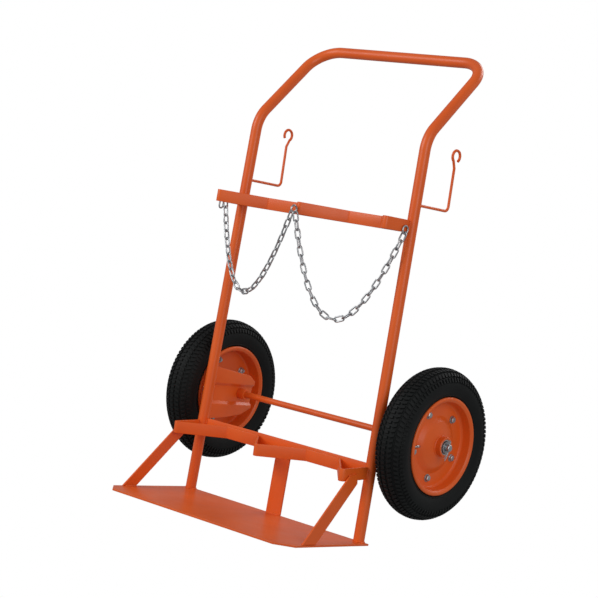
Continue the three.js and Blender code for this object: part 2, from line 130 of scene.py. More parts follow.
def post_x(z):
    """Half the distance between the posts' middles at a height."""
    return POST_FOOT_X + (POST_BEND_X - POST_FOOT_X) * z / POST_BEND_Z


# ---- Materials ----

def ramp(tree, value, low, high):
    """Maps a 0 to 1 value onto the range low to high."""
    node = tree.nodes.new("ShaderNodeMapRange")
    node.inputs["To Min"].default_value = low
    node.inputs["To Max"].default_value = high
    tree.links.new(value, node.inputs["Value"])
    return node.outputs["Result"]


def noise_at(tree, coordinates, scale, detail=4, roughness=0.5):
    node = tree.nodes.new("ShaderNodeTexNoise")
    node.inputs["Scale"].default_value = scale
    node.inputs["Detail"].default_value = detail
    node.inputs["Roughness"].default_value = roughness
    tree.links.new(coordinates, node.inputs["Vector"])
    return node.outputs["Fac"]


def finish(name, colours, rough, patch_scale, bump_scale, bump_depth, **constants):
    """A material whose colour and roughness drift over the surface, with a fine bump on top."""
    material = bpy.data.materials.new(name)
    material.use_nodes = True
    tree = material.node_tree
    shader = tree.nodes["Principled BSDF"]
    place = tree.nodes.new("ShaderNodeTexCoord").outputs["Object"]
    patches = noise_at(tree, place, patch_scale, 5)
    mix = tree.nodes.new("ShaderNodeMix")
    mix.data_type = "RGBA"
    mix.inputs["A"].default_value = (*colours[0], 1)
    mix.inputs["B"].default_value = (*colours[1], 1)
    spread = tree.nodes.new("ShaderNodeMapRange")
    spread.inputs["From Min"].default_value = 0.35
    spread.inputs["From Max"].default_value = 0.65
    tree.links.new(patches, spread.inputs["Value"])
    tree.links.new(spread.outputs["Result"], mix.inputs["Factor"])
    tree.links.new(mix.outputs["Result"], shader.inputs["Base Color"])
    smears = noise_at(tree, place, patch_scale * 2.7, 6, 0.6)
    tree.links.new(ramp(tree, smears, *rough), shader.inputs["Roughness"])
    bump = tree.nodes.new("ShaderNodeBump")
    bump.inputs["Distance"].default_value = bump_depth * MM
    bump.inputs["Strength"].default_value = 1
    tree.links.new(noise_at(tree, place, bump_scale, 3), bump.inputs["Height"])
    tree.links.new(bump.outputs["Normal"], shader.inputs["Normal"])
    for socket, value in constants.items():
        shader.inputs[socket.replace("_", " ")].default_value = value
    return material


LOOKS = {
    "paint": ("orange_paint", finish(
        "gloss_orange_paint", [(0.80, 0.124, 0.014), (0.74, 0.106, 0.011)], (0.3, 0.48), 9, 420, 0.05,
        Coat_Weight=0.06, Coat_Roughness=0.15, Specular_IOR_Level=0.4)),
    "zinc": ("zinc_plate", finish(
        "zinc_plating", [(0.56, 0.57, 0.58), (0.38, 0.40, 0.42)], (0.22, 0.5), 60, 900, 0.06, Metallic=1.0)),
    "steel": ("bright_steel", finish(
        "ground_steel", [(0.58, 0.58, 0.57), (0.42, 0.42, 0.42)], (0.16, 0.36), 80, 1400, 0.03,
        Metallic=1.0)),
    "tyre": ("tyre_rubber", finish(
        "tyre_rubber", [(0.0035, 0.004, 0.0045), (0.005, 0.0065, 0.0065)], (0.55, 0.75), 14, 600, 0.08,
        Specular_IOR_Level=0.22)),
    "tube": ("tube_rubber", finish(
        "butyl_rubber", [(0.012, 0.012, 0.013), (0.02, 0.02, 0.021)], (0.55, 0.75), 20, 500, 0.1)),
    "seal": ("bright_steel", finish(
        "bearing_seal", [(0.012, 0.012, 0.013), (0.02, 0.02, 0.02)], (0.4, 0.6), 90, 900, 0.05)),
}


# ---- Shapes ----

class Shape:
    """Points and faces gathered into one mesh, in metres."""

    def __init__(self):
        self.points = []
        self.faces = []

    def add(self, points, faces, place=Matrix()):
        base = len(self.points)
        self.points += [place @ Vector(p) for p in points]
        self.faces += [[base + i for i in face] for face in faces]
        return self

    def piece(self, name, look, body, nodes=(), crease=32, bevel=0.0):
        """Makes the mesh, gives it its finish and lets it ride on its body in place of CAD nodes."""
        mesh = bpy.data.meshes.new(name)
        mesh.from_pydata(self.points, [], self.faces)
        solid = bmesh.new()
        solid.from_mesh(mesh)
        bmesh.ops.remove_doubles(solid, verts=solid.verts, dist=2e-6)
        bmesh.ops.recalc_face_normals(solid, faces=solid.faces)
        solid.to_mesh(mesh)
        solid.free()
        mesh.shade_smooth()
        mesh.set_sharp_from_angle(angle=math.radians(crease))
        slot, material = LOOKS[look]
        mesh.materials.append(material)
        made = bpy.data.objects.new(name, mesh)
        bpy.context.scene.collection.objects.link(made)
        if bevel:
            edge = made.modifiers.new("softened_edges", "BEVEL")
            edge.width = bevel * MM
            edge.segments = 3
            edge.limit_method = "ANGLE"
            edge.harden_normals = True
        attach(made, body)
        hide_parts(*nodes)
        return made


def loft(rings, closed=False, caps=True):
    """Joins equal rings of points into a skin."""
    count = len(rings[0])
    points = [p for ring in rings for p in ring]
    faces = []
    for k in range(len(rings) if closed else len(rings) - 1):
        here, there = k * count, (k + 1) % len(rings) * count
        for i in range(count):
            j = (i + 1) % count
            faces.append([here + i, here + j, there + j, there + i])
    if caps and not closed:
        faces.append(list(range(count))[::-1])
        faces.append([(len(rings) - 1) * count + i for i in range(count)])
    return points, faces


def circle(radius, sides):
    return [(radius * math.cos(2 * math.pi * i / sides), radius * math.sin(2 * math.pi * i / sides))
            for i in range(sides)]


def bar_section(thickness, height, corner=0.9, steps=3):
    """A rectangle with rounded corners, thickness across and height up."""
    section = []
    for quarter, (sx, sz) in enumerate([(1, 1), (-1, 1), (-1, -1), (1, -1)]):
        for k in range(steps + 1):
            a = (quarter + k / steps) * math.pi / 2
            section.append((sx * (thickness / 2 - corner) + corner * math.cos(a),
                            sz * (height / 2 - corner) + corner * math.sin(a)))
    return section


def bent(corners, radii, steps):
    """Points and tangents along a line of corners, each but the ends bent to a radius."""
    corners = [Vector(c) for c in corners]
    stations = [(corners[0], (corners[1] - corners[0]).normalized())]
    for i in range(1, len(corners) - 1):
        before = (corners[i] - corners[i - 1]).normalized()
        after = (corners[i + 1] - corners[i]).normalized()
        turn = before.angle(after)
        radius = radii[i - 1]
        start = corners[i] - before * radius * math.tan(turn / 2)
        inward = (after - before * before.dot(after)).normalized()
        for k in range(steps + 1):
            a = turn * k / steps
            stations.append((start + before * radius * math.sin(a) + inward * radius * (1 - math.cos(a)),
                             before * math.cos(a) + inward * math.sin(a)))
    stations.append((corners[-1], (corners[-1] - corners[-2]).normalized()))
    return stations


def sweep_rod(stations, radius, sides=16, closed=False):
    """A round rod along stations in millimetres. radius may be a number or one for each station."""
    rings = []
    side = stations[0][1].orthogonal().normalized()
    for k, (point, tangent) in enumerate(stations):
        side = (side - tangent * side.dot(tangent)).normalized()
        other = tangent.cross(side)
        r = radius[k] if isinstance(radius, list) else radius
        rings.append([at(*(point + side * a + other * b)) for a, b in circle(r, sides)])
    return loft(rings, closed)


def sweep_bar(stations, section, up=Vector((0, 0, 1)), turn=Matrix()):
    rings = []
    for point, tangent in stations:
        side = up.cross(tangent).normalized()
        rings.append([at(*(turn @ (point + side * a + up * b))) for a, b in section])
    return loft(rings)


def fillet(line, radius, steps=6):
    """Rounds the inner corners of a 2D line."""
    radii = radius if isinstance(radius, list) else [radius] * (len(line) - 2)
    return [(p.x, p.y) for p, _ in bent([(a, b, 0) for a, b in line], radii, steps)]


def sheet_outline(line, thickness):
    """The closed outline of a sheet of even thickness that follows a 2D line."""
    points = [Vector(p) for p in line]
    sides = [(b - a).orthogonal().normalized() for a, b in zip(points, points[1:])]
    normals = []
    for i in range(len(points)):
        before, after = sides[max(i - 1, 0)], sides[min(i, len(sides) - 1)]
        normals.append((before + after) / (1 + before.dot(after)))
    near = [p + n * thickness / 2 for p, n in zip(points, normals)]
    far = [p - n * thickness / 2 for p, n in zip(points, normals)]
    return near + far[::-1]


def turned(outline, segments=96, turn=0.0):
    """Turns a closed outline of (radius, x) about the X axis, in millimetres."""
    rings = []
    for k in range(segments):
        a = turn + 2 * math.pi * k / segments
        rings.append([Vector((x, r * math.sin(a), r * math.cos(a))) * MM for r, x in outline])
    return loft(rings, closed=True)


def ring_outline(inner, outer, x0, x1, soft=0.5):
    """A ring's outline with softened corners."""
    def corner(r, x, from_angle):
        return [(r + soft * math.cos(math.radians(from_angle + 45 * k)),
                 x + soft * math.sin(math.radians(from_angle + 45 * k))) for k in range(3)]
    return (corner(outer - soft, x1 - soft, 0) + corner(inner + soft, x1 - soft, 90)
            + corner(inner + soft, x0 + soft, 180) + corner(outer - soft, x0 + soft, 270))


def slab(outline, place, thickness):
    """A flat plate: place(a, b, depth) puts a 2D outline's points."""
    count = len(outline)
    points = [place(a, b, d) for d in (0, thickness) for a, b in outline]
    faces = [[i, (i + 1) % count, count + (i + 1) % count, count + i] for i in range(count)]
    return points, faces + [list(range(count))[::-1], list(range(count, 2 * count))]


def weld(shape, corners, radius=2.6, seed=0):
    """A bead of weld along a line, with ripples and an uneven width."""
    corners = [Vector(c) for c in corners]
    stations = []
    for a, b in zip(corners, corners[1:]):
        steps = max(2, int((b - a).length / 1.1))
        stations += [(a.lerp(b, k / steps), (b - a).normalized()) for k in range(steps)]
    stations.append((corners[-1], (corners[-1] - corners[-2]).normalized()))
    last = len(stations) - 1
    radii = []
    for k in range(last + 1):
        ripple = 0.14 * math.sin(k * 2.1 + seed)
        drift = 0.22 * noise.noise(Vector((k * 0.13, seed * 3.7, 0)))
        end = min(1.0, 0.35 + 0.25 * min(k, last - k))
        radii.append(radius * (1 + ripple + drift) * end)
    shape.add(*sweep_rod(stations, radii, 10))


# ---- Frame: plate, tube, strips and bars ----

def toe_plate():
    low, high = (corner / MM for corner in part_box("base_plate"))
    cut = PLATE_CHAMFER
    outline = [(low.x, high.y), (low.x, low.y + cut), (low.x + cut, low.y),
               (high.x - cut, low.y), (high.x, low.y + cut), (high.x, high.y)]
    plate = slab(outline, lambda a, b, d: Vector((a, b, d)) * MM, PLATE_T)
    Shape().add(*plate).piece("toe_plate", "paint", "frame", ["base_plate"], bevel=0.8)


def frame_tube():
    foot = PLATE_T + FIT
    half = [(post_x(foot), 0, foot), (POST_BEND_X, 0, POST_BEND_Z), (HANDLE_X, HANDLE_Y, HANDLE_Z)]
    corners = [(-x, y, z) for x, y, z in half] + half[::-1]
    radii = [POST_BEND_R, HANDLE_CORNER_R, HANDLE_CORNER_R, POST_BEND_R]
    tube = sweep_rod(bent(corners, radii, 20), TUBE_R, 48)
    Shape().add(*tube).piece("frame_tube", "paint", "frame", ["main_frame_tube"])


def cradle(name, node, z, turn):
    half = [(post_x(z), CRADLE_TAIL_Y), (post_x(z), CRADLE_FRONT_Y), (CRADLE_FLAT_OUTER_X, CRADLE_BACK_Y),
            (CRADLE_FLAT_INNER_X, CRADLE_BACK_Y)]
    plan = [(-x, y) for x, y in half] + [(0, CRADLE_TOOTH_Y)] + half[::-1]
    stations = bent([(x, y, 0) for x, y in plan], [6, 8, 8, 6, 8, 8, 6], 8)
    strip = sweep_bar(stations, bar_section(BAR_T, BAR_H), turn=turn)
    Shape().add(*strip).piece(name, "paint", "frame", [node])


UPPER_CRADLE = Matrix.Translation((0, 0, UPPER_CRADLE_Z))
LOWER_CRADLE = Matrix.Translation((0, LOWER_CRADLE_SHIFT_Y, LOWER_CRADLE_Z))
LOWER_CRADLE = LOWER_CRADLE @ Matrix.Rotation(LOWER_CRADLE_TILT, 4, "X")


def cross_bar(name, node):
    """A straight bar whose place and size are its CAD node's box."""
    low, high = (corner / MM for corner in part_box(node))
    middle = (low + high) / 2 - Vector((0, POST_Y, 0))
    size = high - low
    if size.x > size.z:
        ends = [(Vector((x, middle.y, middle.z)), Vector((1, 0, 0))) for x in (low.x, high.x)]
        bar = sweep_bar(ends, bar_section(size.y, size.z))
    else:
        ends = [(Vector((middle.x, middle.y, z)), Vector((0, 0, 1))) for z in (low.z, high.z)]
        bar = sweep_bar(ends, bar_section(size.y, size.x), up=Vector((1, 0, 0)))
    Shape().add(*bar).piece(name, "paint", "frame", [node])


def brace(side):
    name = "left_brace" if side < 0 else "right_brace"
    top_x = post_x(LOWER_CRADLE_Z) + BAR_T / 2 + 2 * FIT
    top, foot, width = BRACE_TOP, BRACE_FOOT, BRACE_WIDTH
    spread = BRACE_SPREAD / (BRACE_HIGH_Z - foot.y)
    along = (top - foot).normalized()
    across = along.orthogonal()
    half_foot = width / 2 / along.y
    outline = [foot + Vector((-half_foot, 0)), foot + Vector((half_foot, 0)), top - across * width / 2,
               top + along * 14, top - along * 8 + across * width / 2]
    strut = slab(outline, lambda a, b, d: at(side * (top_x + d + spread * (BRACE_HIGH_Z - b)), a, b), BAR_T)
    Shape().add(*strut).piece(name + "_strut", "paint", "frame", [name], bevel=0.8)


def axle_bracket(side):
    """A pressed hat section: a band that steps outboard between two flanges."""
    name = "left_axle_bracket" if side < 0 else "right_axle_bracket"
    flange_x = post_x(AXLE_Z) - 1
    front = TUBE_R + 0.7
    outline = [(front, 178), (76, 184), (126, 192.5), (158, 210), (158, 276), (138, 290), (front, 306)]
    recess, low, high, slope = 7, 218, 264, 3.5
    profile = fillet([(170, 0), (low - slope, 0), (low + slope, recess), (high - slope, recess),
                      (high + slope, 0), (320, 0)], 2, 4)
    sheet = bmesh.new()
    sheet.faces.new([sheet.verts.new((0, y, z)) for y, z in outline])
    for z, _ in profile[1:-1]:
        parts = [*sheet.verts, *sheet.edges, *sheet.faces]
        bmesh.ops.bisect_plane(sheet, geom=parts, plane_co=(0, 0, z), plane_no=(0, 0, 1))
    for vert in sheet.verts:
        for (z0, x0), (z1, x1) in zip(profile, profile[1:]):
            if z0 <= vert.co.z + 1e-6 and vert.co.z <= z1 + 1e-6:
                step = x0 + (x1 - x0) * min(1, max(0, (vert.co.z - z0) / (z1 - z0)))
        vert.co.x = side * (flange_x + step)
    sheet.verts.index_update()
    shape = Shape().add([at(*v.co) for v in sheet.verts], [[v.index for v in f.verts] for f in sheet.faces])
    sheet.free()
    made = shape.piece(name + "_pressing", "paint", "frame", [name], crease=40)
    thick = made.modifiers.new("sheet", "SOLIDIFY")
    thick.thickness = BRACKET_SHEET * MM
    thick.offset = 0
    edge = made.modifiers.new("softened_edges", "BEVEL")
    edge.width = 0.6 * MM
    edge.segments = 2
    edge.limit_method = "ANGLE"
    edge.angle_limit = math.radians(50)


def hose_hook(side):
    name = "left_hose_hook" if side < 0 else "right_hose_hook"
    low, high = (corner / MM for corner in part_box(name))
    x = (low.x + high.x) / 2
    stem_y, neck = AXLE_Y - 0.5, HOOK_EYE_Z - HOOK_EYE_R - 14
    corners = [(x, TUBE_R - 1, HOOK_Z), (x, stem_y + 4, HOOK_Z), (x, stem_y, neck)]
    stations = bent(corners, [11], 8)
    turn = -side
    step = 7.5 if side < 0 else 7.9
    for k in range(37):
        a = math.radians(34 + step * k - 90)
        eye = Vector((x, stem_y + turn * HOOK_EYE_R * math.cos(a), HOOK_EYE_Z + HOOK_EYE_R * math.sin(a)))
        stations.append((eye, Vector((0, -turn * math.sin(a), math.cos(a)))))
    hook = sweep_rod(stations, HOOK_ROD_R, 16)
    Shape().add(*hook).piece(name + "_rod", "paint", "frame", [name])


def axle():
    """A painted axle bar whose two ends, inside and beyond the hubs, are bare plated steel."""
    place = Matrix.Translation(at(0, AXLE_Y, AXLE_Z))
    middle, end = WHEEL_X + HUB_ENDS[0] - 8, AXLE_HIGH.x
    bar = turned([(0, -middle), (AXLE_R, -middle), (AXLE_R, middle), (0, middle)], 40)
    Shape().add(*bar, place).piece("axle_bar", "paint", "frame", ["axle"])
    for name, side in (("left", -1), ("right", 1)):
        outline = [(0, side * middle), (AXLE_R, side * middle), (AXLE_R, side * (end - 1.2)),
                   (AXLE_R - 1.2, side * end), (0, side * end)]
        Shape().add(*turned(outline, 40), place).piece(name + "_axle_end", "zinc", "frame")


def axle_boss(side):
    name = "left_axle_boss" if side < 0 else "right_axle_boss"
    low, high = (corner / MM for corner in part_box(name))
    boss = turned(ring_outline(AXLE_R + FIT, 13, low.x, high.x, 0.8), 48)
    place = Matrix.Translation(at(0, AXLE_Y, AXLE_Z))
    Shape().add(*boss, place).piece(name + "_sleeve", "paint", "frame", [name])


def cotter_pin(side):
    """A split pin: an open eye above the axle and two legs bent forward below it."""
    name = "left_cotter_pin" if side < 0 else "right_cotter_pin"
    x = side * COTTER_X
    shape = Shape()
    for leg in (-1, 1):
        y = AXLE_Y + leg * 0.85
        spread = 4.5 if leg > 0 else 0
        corners = [(x, AXLE_Y, AXLE_Z + 17),
                   (x, AXLE_Y + leg * 3.4, AXLE_Z + 15.5),
                   (x, AXLE_Y + leg * 3.2, AXLE_Z + 11),
                   (x, y, AXLE_Z + 8.6),
                   (x, y, AXLE_Z - 12 - spread / 2),
                   (x + side * leg * 0.8, y - 9, AXLE_Z - 25 - spread)]
        shape.add(*sweep_rod(bent(corners, [1.8, 1.8, 1.2, 5], 4), 0.95, 10))
    shape.piece(name + "_split", "zinc", "frame", [name])


def build_frame():
    toe_plate()
    frame_tube()
    cradle("upper_cradle", "upper_cradle_strip", UPPER_CRADLE_Z, UPPER_CRADLE)
    cradle("lower_cradle", "lower_cradle_strip", LOWER_CRADLE_Z, LOWER_CRADLE)
    cross_bar("upper_rear_bar", "upper_back_bar")
    cross_bar("lower_rear_bar", "lower_back_bar")
    cross_bar("middle_upright", "center_upright")
    axle()
    for side in (-1, 1):
        brace(side)
        axle_bracket(side)
        axle_boss(side)
        hose_hook(side)
        cotter_pin(side)


def weld_beads():
    shape = Shape()
    for side in (-1, 1):
        foot_x = post_x(PLATE_T)
        around = [(side * foot_x + TUBE_R * math.cos(a), TUBE_R * math.sin(a) - 0.4, PLATE_T + 0.4)
                  for a in (math.radians(15 * k) for k in range(-2, 15))]
        weld(shape, around, 2.4, side)
        for z in (UPPER_CRADLE_Z, LOWER_CRADLE_Z - 0.8):
            for offset in (-3, 3):
                x = side * post_x(z) + offset
                weld(shape, [(x, -TUBE_R - 0.2, z - 12), (x, -TUBE_R - 0.2, z + 12)], 2, z + side + offset)
        for z in (UPPER_CRADLE_Z, LOWER_BACK_BAR_Z):
            x = side * (post_x(z) - TUBE_R)
            weld(shape, [(x, 0.4, z - 11), (x, 0.4, z + 11)], 2, z + 2 * side)
        x = side * (post_x(AXLE_Z) - 2.5)
        weld(shape, [(x, TUBE_R + 0.6, 182), (x, TUBE_R + 0.6, 302)], 2.4, 5 + side)
        foot = side * (post_x(LOWER_CRADLE_Z) + 12.7)
        weld(shape, [(foot, -208, PLATE_T + 0.5), (foot, -174, PLATE_T + 0.5)], 2.2, 9 + side)
        arm_face = side * (post_x(LOWER_CRADLE_Z) + BAR_T / 2 + 1.3)
        weld(shape, [(arm_face, -78, 153.4), (arm_face, -54, 158.7)], 1.9, 11 + side)
        hook_x = side * post_x(825)
        ring = [(hook_x + HOOK_ROD_R * math.cos(a), TUBE_R - 0.2, HOOK_Z + HOOK_ROD_R * math.sin(a))
                for a in (math.radians(40 * k) for k in range(10))]
        weld(shape, ring, 1.3, 13 + side)
    weld(shape, [(-19, 5.2, PLATE_T + 0.6), (19, 5.2, PLATE_T + 0.6)], 2.3, 17)
    for z in (153, 174):
        weld(shape, [(-18, 5.6, z), (18, 5.6, z)], 1.2, z)
    shape.piece("weld_beads", "paint", "frame")


# ---- Chains ----

def link_loop(length, width, wire, place, shape, sides=12, half_steps=9):
    """An oval link: length and width are over the wire's middle."""
    r, straight = width / 2, (length - width) / 2
    loop = []
    for end in (1, -1):
        for k in range(half_steps + 1):
            a = math.pi * k / half_steps
            loop.append((Vector((end * r * math.cos(a), 0, end * (straight + r * math.sin(a)))),
                         Vector((-end * math.sin(a), 0, end * math.cos(a)))))
    rings = []
    for point, tangent in loop:
        side = Vector((0, 1, 0)).cross(tangent)
        rings.append([(point + side * a + Vector((0, 1, 0)) * b) * MM for a, b in circle(wire, sides)])
    shape.add(*loft(rings, closed=True), place)


def arc_points(start, end, sag, pitch, odd):
    """Points about a pitch apart along a hanging curve, for an odd or an even count of links."""
    def curve(t):
        point = start.lerp(end, t)
        point.z -= 4 * sag * t * (1 - t)
        return point
    fine = [curve(k / 2000) for k in range(2001)]
    lengths = [0.0]
    for a, b in zip(fine, fine[1:]):
        lengths.append(lengths[-1] + (b - a).length)
    count = round(lengths[-1] / pitch)
    if count % 2 != odd:
        count += 1
    points, k = [], 0
    for n in range(count + 1):
        goal = lengths[-1] * n / count
        while k < 2000 and lengths[k] < goal:
            k += 1
        points.append(fine[k])
    return points


def chain(name, node, start, end, sag, body, first, odd):
    """A chain whose links turn a quarter, one after another. first is 1 if it starts turned."""
    points = arc_points(Vector(start), Vector(end), sag, CHAIN_PITCH, odd)
    normal = (Vector(end) - Vector(start)).cross(Vector((0, 0, 1))).normalized()
    last = len(points) - 2
    shape = Shape()
    for k, (a, b) in enumerate(zip(points, points[1:])):
        along = (b - a).normalized()
        wander = random.uniform(-9, 9) * (0 < k < last)
        across = Matrix.Rotation(math.radians(90 * ((k + first) % 2) + wander), 3, along) @ normal
        through = along.cross(across)
        turn = Matrix((across, through, along)).transposed().to_4x4()
        length = (b - a).length + 2 * CHAIN_WIRE_R
        place = Matrix.Translation(at(*(a + b) / 2)) @ turn
        link_loop(length, LINK_WIDTH - 2 * CHAIN_WIRE_R, CHAIN_WIRE_R, place, shape)
    shape.piece(name, "zinc", body, [node])


def ring_middle(node):
    low, high = (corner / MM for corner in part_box(node))
    return (low + high) / 2 - Vector((0, POST_Y, 0))


def build_chains():
    center, right = ring_middle("center_chain_ring"), ring_middle("right_chain_ring")
    line = (center - Vector((0, 0, RING_R)) - PEG).normalized()
    grip = RING_WIRE_R - RING_R      # from a ring's middle down to where a chain starts
    chain("left_chain_links", "left_chain", PEG + Vector((0, 0, RING_WIRE_R)),
          center + Vector((-1.5, -4.2, grip + 1)), LEFT_CHAIN_SAG, "left_chain_loop", 0, 0)
    chain("right_chain_links", "right_chain", center + Vector((1.5, 4.2, grip + 1)),
          right + Vector((0, 0, grip)), RIGHT_CHAIN_SAG, "right_chain_loop", 1, 1)
    for name, middle in (("center_chain_ring", center), ("right_chain_ring", right)):
        stations = []
        for k in range(48):
            a = 2 * math.pi * k / 48
            out = Vector((0, math.cos(a), math.sin(a)))
            stations.append((middle + out * RING_R, Vector((0, -math.sin(a), math.cos(a)))))
        loop = sweep_rod(stations, RING_WIRE_R, 16, closed=True)
        Shape().add(*loop).piece(name + "_wire", "zinc", "frame", [name])
    outer, inner, raised = PEG - line * 19.5, PEG + line * 6, Vector((0, 0, 9))
    rod = sweep_rod(bent([outer + raised, outer, inner, inner + raised], [4, 4], 8), RING_WIRE_R, 16)
    Shape().add(*rod).piece("left_chain_peg", "zinc", "frame", ["left_chain_hook"])
    spare = Shape()
    hung = Matrix.Translation(at(*(PEG - line * 13 - Vector((0, 0, 8)))))
    hung = hung @ Matrix.Rotation(math.pi / 2 - 0.1, 4, "Z")
    link_loop(SPARE_LINK_LENGTH, LINK_WIDTH - 2 * CHAIN_WIRE_R, CHAIN_WIRE_R, hung, spare)
    spare.piece("left_spare_chain_link", "zinc", "frame", ["left_spare_link"])


# ---- Wheels ----

CARCASS_R = 138                  # radius at the tyre's widest place
CARCASS_HALF_WIDTH = 37.4
CROWN = 33                       # from there up to the tread's base
LUG_HEIGHT = TYRE_R - CARCASS_R - CROWN
LUG_COUNT = 95


def carcass(angle, lift=0.0):
    """A point (radius, x) of the tyre's upper section. angle is 0 at the crown."""
    x, r = CARCASS_HALF_WIDTH * math.sin(angle), CARCASS_R + CROWN * math.cos(angle)
    normal = Vector((math.cos(angle) / CROWN, math.sin(angle) / CARCASS_HALF_WIDTH)).normalized()
    return r + lift * normal.x, x + lift * normal.y


def tyre_outline():
    """Bead, sidewall with a rim ridge, and the crown, with a smooth bore towards the rim."""
    half = [(107, 28.5), (112.2, 28.9), (114.2, 29.6), (115.4, 32.2), (117, 33.2), (118.6, 32.6),
            (119.6, 33.2), (124, 34.9), (129, 36.4), (134, 37.2)]
    half += [carcass(math.radians(90 - 5 * k)) for k in range(18)]
    inner = [(168 - 2.2 * k, 12 + 1.9 * k) for k in range(8)] + [(130, 29.5), (107, 22.5)]
    mirror = [(r, -x) for r, x in half[::-1]]
    crown = [carcass(0)]
    return half + crown + mirror + [(r, -x) for r, x in inner[::-1]] + inner


def add_lug(shape, middle, spin, half_angle, half_turn, lift, skew, place):
    """A tread block on the carcass, a little smaller at its top than at its foot."""
    rings = []
    for height, keep in ((-0.8, 1.0), (lift - 0.5, 0.9), (lift, 0.8)):
        ring = []
        for u, v in ((-1, -1), (0, -1), (1, -1), (1, 1), (0, 1), (-1, 1)):
            r, x = carcass(middle + u * half_angle * keep, height)
            a = spin + v * half_turn * keep + skew * u
            ring.append(Vector((x, r * math.sin(a), r * math.cos(a))) * MM)
        rings.append(ring)
    shape.add(*loft(rings), place)


def tread(shape, place):
    step = 2 * math.pi / LUG_COUNT
    rows = [(0, 7.5, 0.32, 0.0), (22.5, 8, 0.34, 0.18), (45, 8.5, 0.34, -0.16), (66, 8.5, 0.3, 0.0)]
    for k in range(LUG_COUNT):
        for row, (degrees, half, fill, skew) in enumerate(rows):
            for side in ((-1, 1) if degrees else (1,)):
                spin = (k + 0.5 * (row % 2)) * step + (0.25 * step if side < 0 else 0)
                lift = LUG_HEIGHT if row < 3 else LUG_HEIGHT * 0.8
                add_lug(shape, side * math.radians(degrees), spin, math.radians(half), fill * step, lift,
                        skew * step * side, place)


RIM_OUTER = [(110.6, 28.8), (112.3, 32.4), (107.5, 34.6), (101.8, 30.7), (100.2, 12), (96.5, WEB_X + 0.95),
             (66, WEB_X + 0.95), (52, 16), (23.4, 24.7)]
RIM_INNER = [(110.6, -28.8), (112.3, -32.4), (107.5, -34.6), (101.8, -30.7), (100.5, 1), (97, WEB_X - 1.25),
             (23.4, WEB_X - 1.25)]

RIM_OUTER_BENDS = [2.4, 3.4, 3, 5, 5, 8, 26]
RIM_INNER_BENDS = [2.4, 3.4, 3, 3, 3]


def bolt_places():
    for k in range(BOLT_COUNT):
        a = math.pi + 2 * math.pi * k / BOLT_COUNT
        yield BOLT_CIRCLE_R * math.sin(a), BOLT_CIRCLE_R * math.cos(a), k


def hexagon(radius, x0, x1, chamfer):
    """A hex head or nut along X, with its corners chamfered at the x1 end."""
    rings = []
    for x, inset in ((x0, 0), (x1 - chamfer, 0), (x1, chamfer * 1.6)):
        rings.append([Vector((x, b * (radius - inset) / radius, a * (radius - inset) / radius)) * MM
                      for a, b in circle(radius, 6)])
    return loft(rings)


def rim_bolt(place, name, node, body):
    """Bolt head and washer outboard, nut and thread end inboard."""
    shape = Shape()
    front, back = WEB_X + 1.9, WEB_X - 2.2
    shape.add(*turned(ring_outline(0.01, 9, front, front + 1.5, 0.3), 32), place)
    shape.add(*hexagon(7.4, front + 1.5, front + 6.8, 0.8), place)
    end = [(0, front + 6.6), (5.4, front + 6.6), (4.9, front + 7.2), (0, front + 7.4)]
    shape.add(*turned(end, 32), place)
    shape.add(*turned(ring_outline(0.01, 9, back - 1.5, back, 0.3), 32), place)
    flip = place @ Matrix.Rotation(math.pi, 4, "Z")
    shape.add(*hexagon(7.4, 1.5 - back, 8 - back, 0.8), flip)
    thread = [(0, 0)]
    for k in range(5):
        thread += [(3.9, 0.3 + 1.25 * k), (3.45, 0.9 + 1.25 * k)]
    thread += [(3.2, 6.6), (0, 6.6)]
    shape.add(*turned([(r, x + 5 - back) for r, x in thread], 24), flip)
    shape.piece(name, "zinc", body, [node])


def bearing(side_name, end, place, body):
    """A sealed ball bearing: two ground races with a dark seal set in between."""
    outer = end == "outer"
    x1 = HUB_ENDS[1] - 1 if outer else HUB_ENDS[0] + 1 + BEARING_W
    x0 = x1 - BEARING_W
    node = f"{side_name}_bearing_{end}"
    races = Shape()
    races.add(*turned(ring_outline(14.6, BEARING_R, x0, x1, 0.6), 64), place)
    races.add(*turned(ring_outline(AXLE_R + FIT, 10.4, x0, x1, 0.5), 64), place)
    races.piece(node + "_races", "steel", body, [node])
    seal = turned([(14.7, x0 + 0.8), (14.7, x1 - 0.8), (12.8, x1 - 0.4),
                   (10.3, x1 - 0.9), (10.3, x0 + 0.9), (12.8, x0 + 0.4)], 64)
    Shape().add(*seal, place).piece(node + "_seal", "seal", body)


def valve(side_name, place, body):
    """A tyre valve: a threaded stem and its cap, pointing at the hub."""
    outline = [(0, -101), (3.9, -101), (3.9, -97), (2.7, -96)]
    outline += [(2.7 - 0.35 * (k % 2), -95.5 + 0.7 * k) for k in range(22)]
    outline += [(2.4, -80), (3.3, -79.5), (3.3, -69), (2.7, -68), (0, -68)]
    stem = turned(outline, 24)
    aim = Matrix.Rotation(VALVE_ANGLE, 4, "X") @ Matrix.Rotation(math.pi / 2, 4, "Y")
    Shape().add(*stem, place @ Matrix.Translation((VALVE_X * MM, 0, 0)) @ aim).piece(
        f"{side_name}_valve", "steel", body, [f"{side_name}_valve_stem"])


